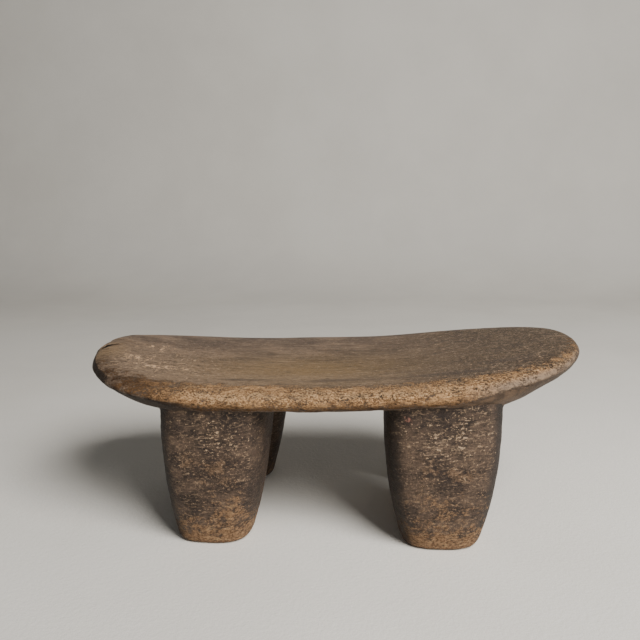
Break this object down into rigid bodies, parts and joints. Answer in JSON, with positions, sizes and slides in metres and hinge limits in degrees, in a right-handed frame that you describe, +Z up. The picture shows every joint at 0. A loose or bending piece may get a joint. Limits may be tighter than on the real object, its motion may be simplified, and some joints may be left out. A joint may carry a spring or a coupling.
{
  "type": "carved wooden headrest stool",
  "caption": "Low oblong seat with a dished, upswept top and rounded rim, standing on stout tapering legs, all hand-carved from one block of dark hardwood.",
  "frame": {"origin": "on the floor, under the middle of the seat's outline", "axes": "+Z up, +X along the seat towards its higher end, +Y towards the back, so -Y is the front"},
  "size_m": [0.56, 0.284, 0.2084],
  "materials": {
    "worn_seat_wood": "old dark hardwood polished by use, with grey-brown patina, fine lengthwise grain and a lighter, worn and pitted rim",
    "dark_leg_wood": "dark brown-black patinated hardwood with fine cross-grain tool marks, rusty patches and feet worn to lighter brown"
  },
  "bodies": {
    "root": {"seat_slab": "worn_seat_wood", "front_left_leg": "dark_leg_wood", "front_right_leg": "dark_leg_wood", "back_left_leg": "dark_leg_wood", "back_right_leg": "dark_leg_wood"}
  },
  "joints": []
}
